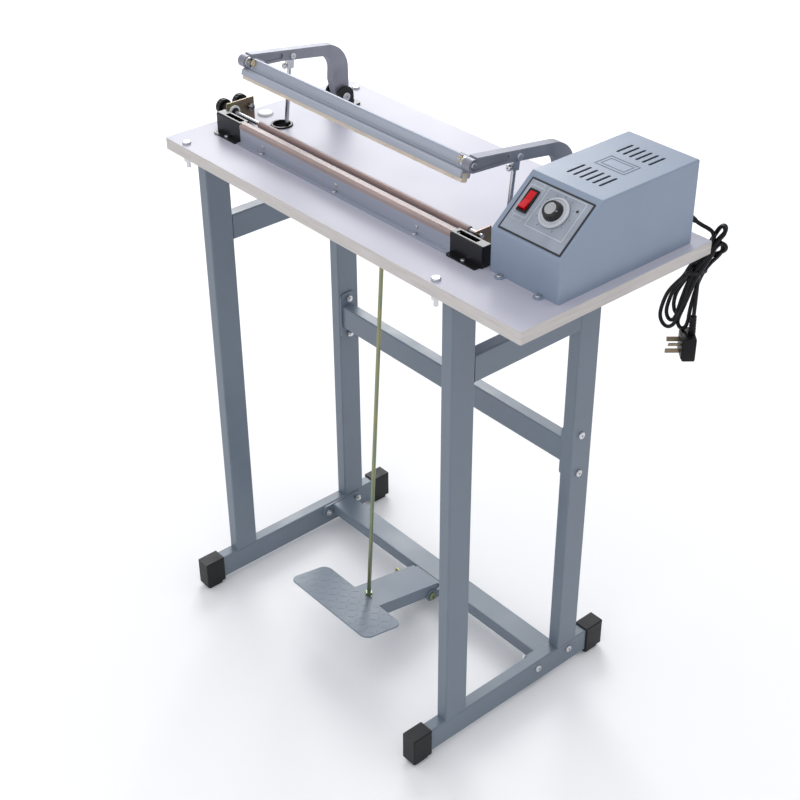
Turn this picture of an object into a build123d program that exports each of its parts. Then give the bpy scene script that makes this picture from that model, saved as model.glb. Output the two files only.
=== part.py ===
from build123d import *
import math
import os

# Foot-operated impulse heat sealer on a steel stand. Millimetres, origin on the floor
# under the middle of the outline, +X along the sealing line towards the control box,
# +Y to the rear, +Z up. The press arms stand open, as they rest on their springs.

# ---------------------------------------------------------------- driving dimensions
TABLE_LEN, TABLE_DEP, TABLE_T = 705.0, 328.0, 17.0
TABLE_TOP = 788.0
TABLE_Y = -3.5                      # middle of the board, front to back
BAND_T = 1.0                        # plastic edge band
TUBE_W, TUBE_D, TUBE_WALL = 20.0, 40.0, 1.5
TUBE_CORNER = 2.4
FRAME_X = {"left": -321.5, "right": 194.5}
LEG_Y = {"front": -112.5, "back": 118.5}
RAIL_HALF, RAIL_Z = 193.5, 9.5
CROSS_Z = 618.0
STRAP_T, STRAP_W = 4.0, 30.0
CAP_LEN, CAP_WALL = 35.0, 3.0
UPPER_Y, UPPER_Z = 113.5, 410.0     # rear stretcher, on edge
LOWER_Y, LOWER_Z = 89.0, 37.0       # foot stretcher, laid flat
PLATE_T = 3.0
OPEN = 19.0                         # degrees the arms stand open above the seal
PIVOT_Y, PIVOT_H = 84.5, 19.5       # arm pivot, height above the board
SEAL_Y, SEAL_H = -93.6, 28.8        # middle and top of the covered seal
SEAL_X0, SEAL_X1 = -265.5, 163.2
BRACKET_LEN, BRACKET_DEEP = 55.0, 17.0
ARM_X = {"left": -274.5, "right": 171.0}
ARM_T = 13.0
PIN_Y, PIN_H = -2.5, 101.0          # swivel pin of the lift rods, arms open
ROD_R = 3.0
LIFT_LEAN = 6.6                     # degrees, tops to the rear, arms open
YOKE_DROP, CLEVIS_DROP = 160.0, 173.0
PULL_X = -54.0
PEDAL_Y, PEDAL_Z = 42.0, 41.5       # pedal hinge
PEDAL_SLOPE = 10.7                  # degrees, front end up at rest
HOOK_Y, HOOK_Z = -62.0, 79.0        # where the pull rod passes the pedal arm
ROLL_Y, ROLL_H = -70.8, 21.6        # cloth roll axis
LOCK_Y, LOCK_H = -42.8, 21.5
BOX_X0, BOX_X1 = 225.4, 337.8
BOX_Y0, BOX_Y1, BOX_H = -94.0, 137.0, 110.0
SLOPE_Y, SLOPE_H = -29.5, 55.6      # the sloped panel runs from (BOX_Y0, SLOPE_H) up
SHEET = 1.2
RUN = 0.05                          # radial running clearance
CORD_R = 2.6

UNDER = TABLE_TOP - TABLE_T
BOTTOM = (Align.CENTER, Align.CENTER, Align.MIN)
SIDES = ("left", "right")


# ---------------------------------------------------------------- helpers
def block(x0, x1, y0, y1, z0, z1):
    """Box between two corners."""
    return Pos(x0, y0, z0) * Box(x1 - x0, y1 - y0, z1 - z0, align=(Align.MIN,) * 3)


def bar(start, end, radius):
    """Round bar from one point to another."""
    run = Vector(*end) - Vector(*start)
    return Plane(origin=start, z_dir=run) * Cylinder(radius, run.length, align=BOTTOM)


def ring(start, end, outer, inner):
    """Round tube from one point to another."""
    return bar(start, end, outer) - bar(start, end, inner)


def yz_plane(x):
    """Plane facing +X: its first axis is Y and its second is Z."""
    return Plane(origin=(x, 0, 0), x_dir=(0, 1, 0), z_dir=(1, 0, 0))


def slab_x(outline, x0, x1, rounding=0.0):
    """Outline of (y, z) points, pushed from x0 to x1."""
    sketch = make_face(Polyline(*outline, close=True))
    if rounding:
        sketch = fillet(sketch.vertices(), rounding)
    return extrude(yz_plane(x0) * sketch, x1 - x0)


def turn(shape, y, z, degrees):
    """Turn a shape about the line through (y, z) along X."""
    return Pos(0, y, z) * Rot(degrees, 0, 0) * Pos(0, -y, -z) * shape


def tube_x(x0, x1, y, z, deep, tall):
    """Rectangular tube along X, centred on (y, z)."""
    outer = block(x0, x1, y - deep / 2, y + deep / 2, z - tall / 2, z + tall / 2)
    outer = fillet(outer.edges().filter_by(Axis.X), TUBE_CORNER)
    w = TUBE_WALL
    return outer - block(x0, x1, y - deep / 2 + w, y + deep / 2 - w, z - tall / 2 + w, z + tall / 2 - w)


def screw(head, direction, head_r, head_h, shank_r, length):
    """Pan-head screw: seat of the head at a point, shank running along a direction."""
    seat, way = Vector(*head), Vector(*direction).normalized()
    top = bar(seat - way * head_h, seat, head_r)
    top = fillet(top.faces().sort_by(Axis(head, direction))[0].edges(), head_h * 0.45)
    cross = bar(seat - way * head_h, seat - way * head_h * 0.4, head_r * 0.28)
    return top - cross + bar(seat, seat + way * length, shank_r)


def hex_nut(start, direction, across, height, bore):
    """Hexagon nut on a bolt of the given bore radius."""
    plane = Plane(origin=start, z_dir=direction)
    body = extrude(plane * RegularPolygon(across / 2 / math.cos(math.pi / 6), 6), height)
    return body - plane * Cylinder(bore, height * 2)


parts = {}


def group(shapes):
    """Separate solids that share one node."""
    return Compound(children=[s for shape in shapes for s in shape.solids()])


# ---------------------------------------------------------------- stand
def stand_bolt_places():
    """(side, y, z) of each bolt that holds a stretcher's end plate."""
    places = []
    for side in SIDES:
        places += [(side, UPPER_Y + 1.5, UPPER_Z + dz) for dz in (-32.5, 32.5)]
        places += [(side, LOWER_Y + dy, LOWER_Z) for dy in (-33.0, 33.0)]
    return places


def inward(side):
    """+1 where the middle of the stand lies towards +X."""
    return 1 if side == "left" else -1


def stand_bolt(side, y, z):
    """Bolt through a frame tube and an end plate, head outside and nut inside."""
    way = inward(side)
    outer = FRAME_X[side] - way * TUBE_W / 2
    length = TUBE_W + PLATE_T
    bolt = screw((outer, y, z), (way, 0, 0), 5.6, 3.6, ROD_R, length + 8)
    return bolt, hex_nut((outer + way * length, y, z), (way, 0, 0), 10.0, 5.0, ROD_R)


def bolt_holes(shape):
    """Drill every stretcher bolt's hole through a shape."""
    for side, y, z in stand_bolt_places():
        shape -= bar((FRAME_X[side] - 25, y, z), (FRAME_X[side] + 25, y, z), ROD_R)
    return shape


def tube_y(x, y0, y1, z):
    """Frame tube along Y, on edge, from height z up."""
    w = TUBE_WALL
    half = TUBE_W / 2
    outer = block(x - half, x + half, y0, y1, z, z + TUBE_D)
    outer = fillet(outer.edges().filter_by(Axis.Y), TUBE_CORNER)
    return outer - block(x - half + w, x + half - w, y0, y1, z + w, z + TUBE_D - w)


def leg(side, row):
    """Leg tube, wide face to the side, from the foot rail to the strap."""
    x, y, w = FRAME_X[side], LEG_Y[row], TUBE_WALL
    low, high = RAIL_Z + TUBE_D, UNDER - STRAP_T
    outer = block(x - TUBE_W / 2, x + TUBE_W / 2, y - TUBE_D / 2, y + TUBE_D / 2, low, high)
    outer = fillet(outer.edges().filter_by(Axis.Z), TUBE_CORNER)
    inner = block(x - TUBE_W / 2 + w, x + TUBE_W / 2 - w, y - TUBE_D / 2 + w, y + TUBE_D / 2 - w, low, high)
    return bolt_holes(outer - inner)


def foot_cap(side, end):
    """Rubber sleeve over a rail end, with a stepped pad under it."""
    x, wall = FRAME_X[side], CAP_WALL
    tip, root = end * (RAIL_HALF + CAP_WALL), end * (RAIL_HALF + CAP_WALL - CAP_LEN)
    y0, y1 = min(tip, root), max(tip, root)
    half = TUBE_W / 2 + wall
    sleeve = block(x - half, x + half, y0, y1, RAIL_Z - wall, RAIL_Z + TUBE_D + wall)
    outer_edges = sleeve.edges().filter_by(Axis.Z) + sleeve.edges().filter_by(Axis.Y)
    sleeve = fillet(outer_edges, 2.0)
    pad = block(x - 9, x + 9, y0 + 4, y1 - 4, 0, RAIL_Z - wall)
    pad = fillet(pad.edges().filter_by(Axis.Z), 3.0)
    rail_y0, rail_y1 = min(root, end * RAIL_HALF), max(root, end * RAIL_HALF)
    core = block(x - TUBE_W / 2, x + TUBE_W / 2, rail_y0, rail_y1, RAIL_Z, RAIL_Z + TUBE_D)
    return sleeve + pad - core


def strap(side):
    """Flat strap welded on the leg tops, bolted up into the board."""
    x0 = FRAME_X[side] - TUBE_W / 2
    body = block(x0, x0 + STRAP_W, -162, 155, UNDER - STRAP_T, UNDER)
    return body - table_bolt_drills()


def table_bolt_places():
    """Centres of the bolts that hold the board on the straps."""
    return [(FRAME_X[side] + 6.5, y) for side in SIDES for y in (-156.7, 146.4)]


def table_bolt_drills():
    """Shanks of the table bolts, for cutting their holes."""
    return [bar((x, y, UNDER - 20), (x, y, TABLE_TOP + 5), ROD_R) for x, y in table_bolt_places()]


def table_bolt(x, y):
    """Bolt through the board and strap, with its nut underneath."""
    bolt = screw((x, y, TABLE_TOP), (0, 0, -1), 6.0, 3.2, ROD_R, TABLE_T + STRAP_T + 14)
    return bolt, hex_nut((x, y, UNDER - STRAP_T), (0, 0, -1), 10.0, 5.0, ROD_R)


def upper_stretcher():
    """Rear tube on edge, with an end plate reaching above and below it."""
    x0, x1 = FRAME_X["left"] + TUBE_W / 2, FRAME_X["right"] - TUBE_W / 2
    shape = tube_x(x0 + PLATE_T, x1 - PLATE_T, UPPER_Y, UPPER_Z, TUBE_W, TUBE_D)
    for x in (x0, x1 - PLATE_T):
        plate = block(x, x + PLATE_T, 100, 130, UPPER_Z - 42, UPPER_Z + 42)
        shape += fillet(plate.edges().filter_by(Axis.X), 9.0)
    return bolt_holes(shape)


def lower_stretcher():
    """Foot tube laid flat, with an end plate reaching in front of and behind it."""
    x0, x1 = FRAME_X["left"] + TUBE_W / 2, FRAME_X["right"] - TUBE_W / 2
    shape = tube_x(x0 + PLATE_T, x1 - PLATE_T, LOWER_Y, LOWER_Z, TUBE_D, TUBE_W)
    for x in (x0, x1 - PLATE_T):
        plate = block(x, x + PLATE_T, LOWER_Y - 42, LOWER_Y + 42, LOWER_Z - 11, LOWER_Z + 11)
        shape += fillet(plate.edges().filter_by(Axis.X), 8.0)
    return bolt_holes(shape)


for side in SIDES:
    for row in LEG_Y:
        parts[f"leg_{side}_{row}"] = leg(side, row)
    parts[f"foot_rail_{side}"] = bolt_holes(tube_y(FRAME_X[side], -RAIL_HALF, RAIL_HALF, RAIL_Z))
cross_y0, cross_y1 = LEG_Y["front"] + TUBE_D / 2, LEG_Y["back"] - TUBE_D / 2
parts["crossbars"] = group(tube_y(FRAME_X[s], cross_y0, cross_y1, CROSS_Z) for s in SIDES)
parts["mounting_straps"] = group(strap(s) for s in SIDES)
parts["upper_stretcher"] = upper_stretcher()
parts["lower_stretcher"] = lower_stretcher()
parts["foot_caps"] = group(foot_cap(s, end) for s in SIDES for end in (-1, 1))
parts["stand_bolts"] = group(p for place in stand_bolt_places() for p in stand_bolt(*place))
parts["table_bolts"] = group(p for place in table_bolt_places() for p in table_bolt(*place))

# ---------------------------------------------------------------- board and what is screwed to it
GROMMET_Y, GROMMET_SHIFT = -19.5, 4.0   # holes set outwards of the rods
GROMMET_R, GROMMET_BORE = 16.0, 13.0
PLUG_X, PLUG_Y, PLUG_R = -326.7, -12.6, 11.5
BASE_SCREW_X = (-213.0, -55.0, 102.0)
BASE_FLANGE = 6.6
BRACKET_X = {"left": SEAL_X0 - BRACKET_LEN, "right": SEAL_X1}
BRACKET_FLANGE = 8.5
SEAL_HALF = 6.8                     # half the width of the seal base
EAR_R, EAR_T, EAR_GAP = 15.0, 3.0, 23.0
SCREW_R = 1.7
BOX_TAB, BOX_TAB_X = 4.5, (246.5, 309.8)


def grommet_places():
    """Centres of the holes that the lift rods pass."""
    return [(ARM_X[s] - inward(s) * GROMMET_SHIFT, GROMMET_Y) for s in SIDES]


def bracket_screw_places():
    """Screws through the end brackets' feet."""
    y = SEAL_Y - SEAL_HALF - BRACKET_FLANGE / 2
    return [(BRACKET_X[s] + BRACKET_LEN / 2, y, 2.0, 3.0) for s in SIDES]


def ear_middle(side):
    """Middle of a pivot bracket along X; its spring side is the wider one."""
    return ARM_X[side] - 2.0


def bench_screw_places():
    """(x, y, height of the sheet, head radius) of each small screw down into the board."""
    places = [(x, SEAL_Y - SEAL_HALF - BASE_FLANGE / 2, 2.5, 2.9) for x in BASE_SCREW_X]
    places += bracket_screw_places()
    places += [(ear_middle(s), PIVOT_Y + dy, 3.0, 3.6) for s in SIDES for dy in (-23.0, 23.0)]
    places += [(-312.0, -60.0, 2.0, 3.6), (190.0, -60.0, 2.0, 3.6)]
    places += [(x, BOX_Y0 - BOX_TAB, 1.5, 3.8) for x in BOX_TAB_X]
    return places


def bench_drills():
    """Shanks of the small screws."""
    return [bar((x, y, TABLE_TOP - 12), (x, y, TABLE_TOP + 6), SCREW_R) for x, y, *_ in bench_screw_places()]


def side_screws():
    """Screws through the front wall of the seal base."""
    wall = SEAL_Y - SEAL_HALF
    return [screw((x, wall, TABLE_TOP + 12), (0, 1, 0), 3.0, 1.8, SCREW_R, 2.0) for x in BASE_SCREW_X]


def board_outline(inset):
    """Board body, set back from its edge, with small corner radii."""
    x, y = TABLE_LEN / 2 - inset, TABLE_DEP / 2 - inset
    body = block(-x, x, TABLE_Y - y, TABLE_Y + y, UNDER, TABLE_TOP)
    return fillet(body.edges().filter_by(Axis.Z), 3.0 - inset)


def tabletop():
    """Laminated board with its rod holes, plug hole and screw holes."""
    body = board_outline(BAND_T)
    for x, y in grommet_places():
        body -= bar((x, y, UNDER), (x, y, TABLE_TOP), GROMMET_R - 1.5)
    body -= bar((PLUG_X, PLUG_Y, UNDER), (PLUG_X, PLUG_Y, TABLE_TOP), PLUG_R - 3)
    return body - table_bolt_drills() - bench_drills()


def grommet(x, y):
    """Plastic rod bush with a flange on the board."""
    flange = bar((x, y, TABLE_TOP), (x, y, TABLE_TOP + 2.5), GROMMET_R)
    flange = fillet(flange.faces().sort_by(Axis.Z)[-1].edges(), 1.2)
    body = flange + bar((x, y, UNDER), (x, y, TABLE_TOP), GROMMET_R - 1.5)
    return body - bar((x, y, UNDER - 1), (x, y, TABLE_TOP + 4), GROMMET_BORE)


def hole_plug():
    """White domed plug in a spare hole."""
    cap = bar((PLUG_X, PLUG_Y, TABLE_TOP), (PLUG_X, PLUG_Y, TABLE_TOP + 3), PLUG_R)
    cap = fillet(cap.faces().sort_by(Axis.Z)[-1].edges(), 2.4)
    return cap + bar((PLUG_X, PLUG_Y, TABLE_TOP - 10), (PLUG_X, PLUG_Y, TABLE_TOP), PLUG_R - 3)


def seal_base():
    """Aluminium section: hollow bar with a foot in front and behind."""
    z, y0, y1 = TABLE_TOP, SEAL_Y - SEAL_HALF, SEAL_Y + SEAL_HALF
    top = z + SEAL_H - 3.2
    body = block(SEAL_X0, SEAL_X1, y0, y1, z, top)
    body -= block(SEAL_X0, SEAL_X1, y0 + 2, y1 - 2, z + 2.5, top - 2.5)
    body += block(SEAL_X0, SEAL_X1, y0 - BASE_FLANGE, y0, z, z + 2.5)
    body += block(SEAL_X0, SEAL_X1, y1, y1 + 5, z, z + 2.5)
    return body - bench_drills() - side_screws()


def end_bracket(side):
    """Folded black cover over an element terminal, slotted on top."""
    x0, x1, z = BRACKET_X[side], BRACKET_X[side] + BRACKET_LEN, TABLE_TOP
    y0, y1, top = SEAL_Y - SEAL_HALF, SEAL_Y - SEAL_HALF + BRACKET_DEEP, SEAL_H
    body = block(x0, x1, y0, y1, z, z + top)
    body = fillet(body.edges().filter_by(Axis.X).sort_by(Axis.Z)[-2:], 2.5)
    closed_left, closed_right = (2, 0) if side == "left" else (0, 2)
    body -= block(x0 + closed_left, x1 - closed_right, y0 + 2, y1 - 2, z, z + top - 2)
    near, far = (15, 4) if side == "left" else (5, 14)
    slot = block(x0 + near, x1 - far, (y0 + y1) / 2 - 4, (y0 + y1) / 2 + 4, z + top - 4, z + top + 1)
    body -= fillet(slot.edges().filter_by(Axis.Z), 2.4)
    foot = block(x0 + 1, x1 - 3, y0 - BRACKET_FLANGE, y0, z, z + 2)
    foot = fillet(foot.edges().filter_by(Axis.Z).sort_by(Axis.Y)[:2], 2.5)
    return body + foot - bench_drills()


def terminal_block(side):
    """Brass element clamp on its pivot pin, inside an end bracket."""
    x = BRACKET_X[side] + (22 if side == "left" else 33)
    z = TABLE_TOP
    y0, y1 = SEAL_Y - SEAL_HALF + 2, SEAL_Y - SEAL_HALF + BRACKET_DEEP - 2
    pin = bar((x, y0, z + 11), (x, y1, z + 11), 2.0)
    body = block(x - 7, x + 7, SEAL_Y - 4, SEAL_Y + 4, z + 5, z + 20) - pin
    return body + screw((x, SEAL_Y + 1.5, z + 20.3), (0, 0, -1), 2.4, 1.8, 1.0, 0.3), pin


def cloth():
    """Glass-cloth cover folded over the seal and down both walls."""
    y0, y1, top = SEAL_Y - SEAL_HALF, SEAL_Y + SEAL_HALF, TABLE_TOP + SEAL_H
    skin, shoulder, crown = 0.5, top - 2.6, 3.4
    outer = [
        (y0 - skin, top - 7.5), (y0 - skin, shoulder), (y0 + crown, top), (y1 - crown, top),
        (y1 + skin, shoulder), (y1 + skin, top - 16),
    ]
    inner = [
        (y1, top - 16), (y1, shoulder - 0.2), (y1 - crown - 0.2, top - skin),
        (y0 + crown + 0.2, top - skin), (y0, shoulder - 0.2), (y0, top - 7.5),
    ]
    return slab_x(outer + inner, SEAL_X0, SEAL_X1)


BED_INSET = 9.0                     # the bed stops short of the ribbon's bends


def element():
    """Flat heating ribbon, bent down at both ends to its clamps."""
    top, low, t = TABLE_TOP + SEAL_H - 0.6, TABLE_TOP + 20.3, 0.3
    xa, xb = BRACKET_X["left"] + 22, BRACKET_X["right"] + 33
    left = [(xa - 6, low), (xa + 7, low), (SEAL_X0 - 1, top - 2), (SEAL_X0 + BED_INSET, top)]
    right = [(SEAL_X1 - BED_INSET, top), (SEAL_X1 + 1, top - 2), (xb - 7, low), (xb + 6, low)]
    upper = left + right
    lower = [(x, h - t) for x, h in reversed(upper)]
    face = make_face(Polyline(*upper, *lower, close=True))
    plane = Plane(origin=(0, SEAL_Y + 3.0, 0), x_dir=(1, 0, 0), z_dir=(0, -1, 0))
    return extrude(plane * face, 3.0) - terminals


def roll_bracket(x, y0, y1, height, foot):
    """Zinc plate standing on the board; its foot runs along X."""
    z = TABLE_TOP
    outline = [(y0, z), (y1, z), (y1, z + height), (y0, z + height)]
    body = slab_x(outline, x, x + 2, 1.5)
    x_foot = (x, x + foot) if foot > 0 else (x + 2 + foot, x + 2)
    body += block(*x_foot, -68, -52, z, z + 2)
    body -= bar((x - 1, ROLL_Y, z + ROLL_H), (x + 3, ROLL_Y, z + ROLL_H), ROD_R + RUN)
    return body - bench_drills()


parts["tabletop"] = tabletop()
band = board_outline(0)
band = fillet(band.faces().filter_by(Axis.Z).edges(), 0.7)
parts["edge_band"] = band - board_outline(BAND_T)
parts["grommets"] = group(grommet(*c) for c in grommet_places())
parts["hole_plug"] = hole_plug()
parts["seal_base"] = seal_base()
for side in SIDES:
    parts[f"end_bracket_{side}"] = end_bracket(side)
terminals = [p for s in SIDES for p in terminal_block(s)]
parts["terminal_blocks"] = group(terminals)
bed_top = TABLE_TOP + SEAL_H - 0.9
bed_x = (SEAL_X0 + BED_INSET, SEAL_X1 - BED_INSET)
parts["element_bed"] = block(*bed_x, SEAL_Y - 3.4, SEAL_Y + 3.4, bed_top - 2.3, bed_top)
parts["heating_element"] = element()
parts["ptfe_cloth"] = cloth()
small_screws = [
    screw((x, y, TABLE_TOP + h), (0, 0, -1), r, 2.2, SCREW_R, h + 12) for x, y, h, r in bench_screw_places()
]
parts["bench_screws"] = group(small_screws + side_screws())

# cloth roll with its knob, and the screw knob that clamps it
LEFT_PLATE_X, RIGHT_PLATE_X = -323.0, 180.0
lock_bore = bar((LEFT_PLATE_X - 1, LOCK_Y, TABLE_TOP + LOCK_H), (LEFT_PLATE_X + 3, LOCK_Y, TABLE_TOP + LOCK_H),
                2.5 + RUN)
left_plate = roll_bracket(LEFT_PLATE_X, -82, -35.5, 35, 18) - lock_bore
parts["roll_brackets"] = group([left_plate, roll_bracket(RIGHT_PLATE_X, -78, -50, 27, 18)])
roll_z = TABLE_TOP + ROLL_H
parts["roll_shaft"] = bar((-340, ROLL_Y, roll_z), (188, ROLL_Y, roll_z), ROD_R)
parts["cloth_roll"] = ring((-258, ROLL_Y, roll_z), (166, ROLL_Y, roll_z), 5.0, ROD_R)


def knob(y, z, bore):
    """Round grip with a stepped hub, on an axis along X."""
    grip = bar((-350, y, z), (-341, y, z), 11.5)
    grip = fillet(grip.edges(), 1.6)
    for k in range(12):
        turned = math.radians(30 * k)
        cy, cz = y + 12.6 * math.cos(turned), z + 12.6 * math.sin(turned)
        grip -= bar((-351, cy, cz), (-340, cy, cz), 1.7)
    hub = bar((-341, y, z), (-332, y, z), 7.0)
    return grip + hub - bar((-340, y, z), (-330, y, z), bore)


parts["roll_knob"] = knob(ROLL_Y, roll_z, ROD_R)
lock_z = TABLE_TOP + LOCK_H
lock = knob(LOCK_Y, lock_z, 2.5) + bar((-340, LOCK_Y, lock_z), (-316, LOCK_Y, lock_z), 2.5)
parts["lock_knob"] = lock + bar((-319.5, LOCK_Y, lock_z), (-316, LOCK_Y, lock_z), 5.0)

# ---------------------------------------------------------------- press arms
PIVOT_Z = TABLE_TOP + PIVOT_H
PIN_Z = TABLE_TOP + PIN_H
BOSS_R, AXLE_R = 12.0, 4.0
FORK_HALF, FORK_GAP = 9.0, 7.4
POCKET = 2.4
NOSE_Y, NOSE_H, NOSE_R = -77.0, 110.6, 8.6
BAR_X0, BAR_X1 = -273.6, 164.0
WEB_X0, WEB_X1 = -262.0, 158.5
LUG_T, LUG_R = 4.0, 7.0
LUG_Y, LUG_H = -97.9, 53.6          # nose screw, arms closed


def opened(shape):
    """Swing a shape drawn with the arms closed up to where they rest."""
    return turn(shape, PIVOT_Y, PIVOT_Z, -OPEN)


def arm(side):
    """Cast arm: long beam, deep elbow and a leg down to the pivot boss."""
    x0, x1, z = ARM_X[side] - ARM_T / 2, ARM_X[side] + ARM_T / 2, TABLE_TOP
    beam = [
        (-72, 120.2), (95, 96.0), (95, 46), (95.5, 19.5), (73, 18), (66.4, 46), (68.4, 84.2),
        (-20, 97.8), (-76, 101.9),
    ]
    line = Polyline(*[(y, h + z) for y, h in beam], close=True)
    sketch = make_face(line)
    corners = {1: 42.0, 6: 24.0, 2: 12.0, 5: 10.0, 7: 20.0}
    for index, radius in corners.items():
        spot = Vector(beam[index][0], beam[index][1] + z, 0)
        sketch = fillet([min(sketch.vertices(), key=lambda v: (Vector(*v) - spot).length)], radius)
    body = extrude(yz_plane(x0) * sketch, ARM_T)
    body += bar((x0, PIVOT_Y, PIVOT_Z), (x1, PIVOT_Y, PIVOT_Z), BOSS_R)
    body += bar((x0, NOSE_Y, z + NOSE_H), (x1, NOSE_Y, z + NOSE_H), NOSE_R)
    shallow = slab_x([(y, h + z) for y, h in [(-62, 104.4), (-19, 101.2), (-19, 108.6), (-62, 115)]], 0, POCKET, 2.5)
    nosed = slab_x([(y, h + z) for y, h in [(-81.5, 105), (-19, 101), (-19, 109), (-81.5, 118)]], 0, POCKET, 4.0)
    inner, outer = (x1 - POCKET, x0) if side == "left" else (x0, x1 - POCKET)
    body -= Pos(inner, 0, 0) * shallow + Pos(outer, 0, 0) * nosed
    middle = ARM_X[side]
    body -= block(middle - FORK_GAP / 2, middle + FORK_GAP / 2, PIN_Y - FORK_HALF, PIN_Y + FORK_HALF, z + 80, z + 107.6)
    body -= bar((x0, PIN_Y, PIN_Z), (x1, PIN_Y, PIN_Z), 2.5)
    body -= bar((x0, PIVOT_Y, PIVOT_Z), (x1, PIVOT_Y, PIVOT_Z), AXLE_R + RUN)
    return body - [opened(s) for s in nose_screw(side)]


def nose_screw(side):
    """Cross-head screw through an arm's nose into the bar's lug, arms closed."""
    way = inward(side)
    floor = ARM_X[side] - way * (ARM_T / 2 - POCKET)
    return [screw((floor, LUG_Y, TABLE_TOP + LUG_H), (way, 0, 0), 4.1, 2.8, 2.5, ARM_T - POCKET + LUG_T + 1.2)]


def lug(side):
    """Angle that joins an arm's inner face to the back of the bar, arms closed."""
    way = inward(side)
    face = ARM_X[side] + way * ARM_T / 2
    x0, x1 = sorted((face, face + way * LUG_T))
    y_back, z = SEAL_Y + 2.5, TABLE_TOP + LUG_H
    cheek = bar((x0, LUG_Y, z), (x1, LUG_Y, z), LUG_R) + block(x0, x1, LUG_Y, y_back + 4, z - LUG_R, z + LUG_R)
    x0, x1 = sorted((face, face + way * 20))
    tail = block(x0, x1, y_back, y_back + 4, z - LUG_R, z + LUG_R)
    return cheek + tail - nose_screw(side) - bar_bolt(side)[0]


def bar_bolt(side):
    """Bolt through the bar's web and a lug, brass nut in front, arms closed."""
    way = inward(side)
    x, z = ARM_X[side] + way * (ARM_T / 2 + 11), TABLE_TOP + 54.6
    bolt = screw((x, SEAL_Y + 6.5, z), (0, -1, 0), 3.8, 2.4, 2.0, 14)
    return bolt, hex_nut((x, SEAL_Y - 2.5, z), (0, -1, 0), 7.0, 3.2, 2.0)


def press_bar():
    """Extruded bar, arms closed: ribbed web above a channel for the rubber."""
    z = TABLE_TOP
    web = block(WEB_X0, WEB_X1, SEAL_Y - 2.5, SEAL_Y + 2.5, z + 43, z + 60)
    for h in (46.5, 58.8):
        web += block(WEB_X0, WEB_X1, SEAL_Y - 3.5, SEAL_Y - 2.5, z + h, z + h + 1.2)
    outline = [
        (-8, 34.5), (-8, 41.5), (-5.5, 44), (5.5, 44), (8, 41.5), (8, 34.5),
        (5, 34.5), (5, 36.5), (6.2, 36.5), (6.2, 41), (-6.2, 41), (-6.2, 36.5), (-5, 36.5), (-5, 34.5),
    ]
    channel = slab_x([(SEAL_Y + y, z + h) for y, h in outline], BAR_X0, BAR_X1)
    return web + channel - [bar_bolt(s)[0] for s in SIDES]


def rubber():
    """Silicone strip held in the bar's channel, arms closed."""
    z = TABLE_TOP
    outline = [
        (-4, 29.1), (4, 29.1), (4.9, 30), (4.9, 36.6), (6.1, 36.6), (6.1, 40.9),
        (-6.1, 40.9), (-6.1, 36.6), (-4.9, 36.6), (-4.9, 30),
    ]
    return slab_x([(SEAL_Y + y, z + h) for y, h in outline], BAR_X0, BAR_X1)


def pivot_bracket(side):
    """Folded U bracket: a base on the board and two round-topped ears."""
    x, z = ear_middle(side), TABLE_TOP
    half = EAR_GAP / 2 + EAR_T
    shape = block(x - half, x + half, PIVOT_Y - 30, PIVOT_Y + 30, z, z + 3)
    shape = fillet(shape.edges().filter_by(Axis.Z), 6.0)
    for x0 in (x - half, x + EAR_GAP / 2):
        ear = block(x0, x0 + EAR_T, PIVOT_Y - EAR_R, PIVOT_Y + EAR_R, z, PIVOT_Z)
        shape += ear + bar((x0, PIVOT_Y, PIVOT_Z), (x0 + EAR_T, PIVOT_Y, PIVOT_Z), EAR_R)
    shape -= bar((x - half, PIVOT_Y, PIVOT_Z), (x + half, PIVOT_Y, PIVOT_Z), AXLE_R)
    return shape - bench_drills()


def pivot_axle(side):
    """Arm axle with a domed head and a nut."""
    x = ear_middle(side)
    half = EAR_GAP / 2 + EAR_T
    head = screw((x + half, PIVOT_Y, PIVOT_Z), (-1, 0, 0), 6.5, 3.5, AXLE_R, 2 * half + 7)
    return head, hex_nut((x - half, PIVOT_Y, PIVOT_Z), (-1, 0, 0), 13.0, 5.0, AXLE_R)


def return_spring(side):
    """Torsion spring round the axle, beside the arm; its tail bears on the bracket's base."""
    x, wire, coil = ear_middle(side) - EAR_GAP / 2 + 1.2, 0.8, 7.0
    turns = Helix(pitch=1.8, height=4.2, radius=coil)
    wound = sweep(Plane(origin=turns @ 0, z_dir=turns % 0) * Circle(wire), turns, is_frenet=True)
    wound = Pos(x, PIVOT_Y, PIVOT_Z) * Rot(90, 0, 0) * Rot(0, 90, 0) * wound
    tail = bar((x, PIVOT_Y + coil, PIVOT_Z), (x, PIVOT_Y + coil, TABLE_TOP + 3), wire)
    return wound + tail


for side in SIDES:
    parts[f"press_arm_{side}"] = arm(side)
parts["pivot_brackets"] = group(pivot_bracket(s) for s in SIDES)
parts["pivot_axles"] = group(p for s in SIDES for p in pivot_axle(s))
parts["return_springs"] = group(return_spring(s) for s in SIDES)
parts["press_bar"] = opened(press_bar())
parts["silicone_strip"] = opened(rubber())
parts["bar_lugs"] = group(opened(lug(s)) for s in SIDES)
closed_screws = [p for s in SIDES for p in nose_screw(s) + list(bar_bolt(s))]
swivel_pins = [
    screw((ARM_X[s] + ARM_T / 2, PIN_Y, PIN_Z), (-1, 0, 0), 4.6, 2.6, 2.5, ARM_T + 1) for s in SIDES
]
parts["arm_fasteners"] = group([opened(p) for p in closed_screws] + swivel_pins)

# ---------------------------------------------------------------- lift rods, yoke and pull rod
BLOCK_X, BLOCK_HALF = 6.8, 5.5
CLEVIS_GAP, CLEVIS_T = 6.6, 3.0


def leaning(shape):
    """Tilt a shape hung plumb from the swivel pin to the lift rods' lean."""
    return turn(shape, PIN_Y, PIN_Z, -LIFT_LEAN)


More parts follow.
